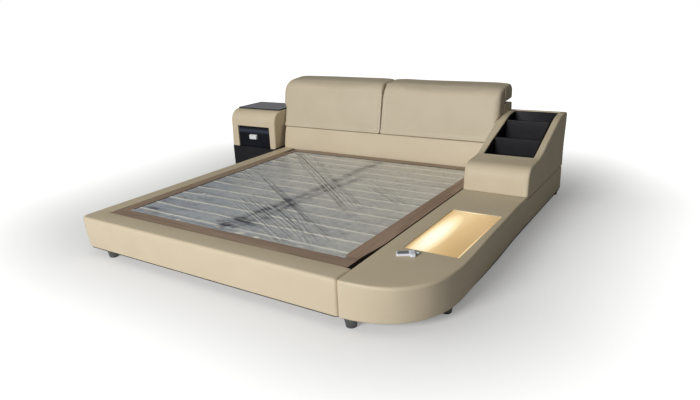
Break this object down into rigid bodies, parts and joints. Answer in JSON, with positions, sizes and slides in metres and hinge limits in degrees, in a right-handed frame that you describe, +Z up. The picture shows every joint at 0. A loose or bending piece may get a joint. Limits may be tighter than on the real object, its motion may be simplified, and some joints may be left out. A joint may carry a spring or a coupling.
{
  "type": "upholstered leather platform bed",
  "caption": "Low leather platform bed with slatted base, tilting headrests, a side chaise with lit glass and open bookcase, and a bedside cabinet with a drawer.",
  "frame": {"origin": "middle of the whole footprint, on the floor", "axes": "+X towards the chaise side, +Y towards the headboard, +Z up"},
  "size_m": [3.0982, 2.59, 0.885],
  "materials": {
    "cream_leather": "satin",
    "black_leather": "satin",
    "board_wood": "matte",
    "slat_wood": "matte",
    "cap_rubber": "matte",
    "steel": "satin",
    "foot_metal": "gloss",
    "bright_metal": "polished",
    "clear_film": "gloss",
    "dark_glass": "polished",
    "lit_glass": "frosted",
    "white_board": "matte",
    "light_strip": "gloss",
    "light_plastic": "satin",
    "grey_plastic": "matte"
  },
  "bodies": {
    "bed": {"foot_panel": "cream_leather", "left_rail": "cream_leather", "chaise_body": "cream_leather", "headboard_frame": "cream_leather", "headboard_lower_panel": "cream_leather", "cushion_lower_left": "cream_leather", "cushion_lower_right": "cream_leather", "cabinet_shell": "cream_leather", "stand_shell": "cream_leather", "cabinet_liner": "black_leather", "cabinet_divider_front": "black_leather", "cabinet_divider_back": "black_leather", "stand_plinth": "black_leather", "slat_ledge": "board_wood", "frame_board_foot": "board_wood", "frame_board_head": "board_wood", "frame_board_left": "board_wood", "frame_board_right": "board_wood", "slat_01": "slat_wood", "slat_02": "slat_wood", "slat_03": "slat_wood", "slat_04": "slat_wood", "slat_05": "slat_wood", "slat_06": "slat_wood", "slat_07": "slat_wood", "slat_08": "slat_wood", "slat_09": "slat_wood", "slat_10": "slat_wood", "slat_11": "slat_wood", "slat_12": "slat_wood", "slat_13": "slat_wood", "slat_cap_strip_left": "cap_rubber", "slat_cap_strip_right": "cap_rubber", "hinge_fixed_left": "steel", "hinge_fixed_right": "steel", "centre_beam": "steel", "drawer_runner_left": "steel", "drawer_runner_right": "steel", "foot_front_left": "foot_metal", "foot_front_seam": "foot_metal", "foot_chaise_front": "foot_metal", "foot_chaise_back": "foot_metal", "foot_head_left": "foot_metal", "foot_head_middle": "foot_metal", "slat_film": "clear_film", "stand_glass_top": "dark_glass", "light_tray": "white_board", "light_strip": "light_strip"},
    "headrest_left": {"cushion_upper_left": "cream_leather", "headrest_block_left": "cream_leather", "hinge_moving_left": "steel"},
    "headrest_right": {"cushion_upper_right": "cream_leather", "headrest_block_right": "cream_leather", "hinge_moving_right": "steel"},
    "drawer": {"drawer_box": "board_wood", "drawer_front": "black_leather", "drawer_handle": "bright_metal"},
    "glass_panel": {"glass_panel": "lit_glass"},
    "hand_control": {"control_body": "light_plastic", "control_keypad": "grey_plastic"}
  },
  "joints": [
    {"name": "headrest_left_tilt", "type": "hinge", "parent": "bed", "child": "headrest_left", "pos_m": [-0.4632, 1.132, 0.742], "axis": [1, 0, 0], "range_deg": [-8, 25]},
    {"name": "headrest_right_tilt", "type": "hinge", "parent": "bed", "child": "headrest_right", "pos_m": [0.5942, 1.132, 0.742], "axis": [1, 0, 0], "range_deg": [-8, 25]},
    {"name": "drawer_slide", "type": "slide", "parent": "bed", "child": "drawer", "axis": [0, -1, 0], "range_m": [0, 0.3]},
    {"name": "glass_lift", "type": "slide", "parent": "bed", "child": "glass_panel", "axis": [0, 0, 1], "range_m": [0, 0.1]},
    {"name": "control_lift", "type": "slide", "parent": "bed", "child": "hand_control", "axis": [0, 0, 1], "range_m": [0, 0.1]}
  ]
}
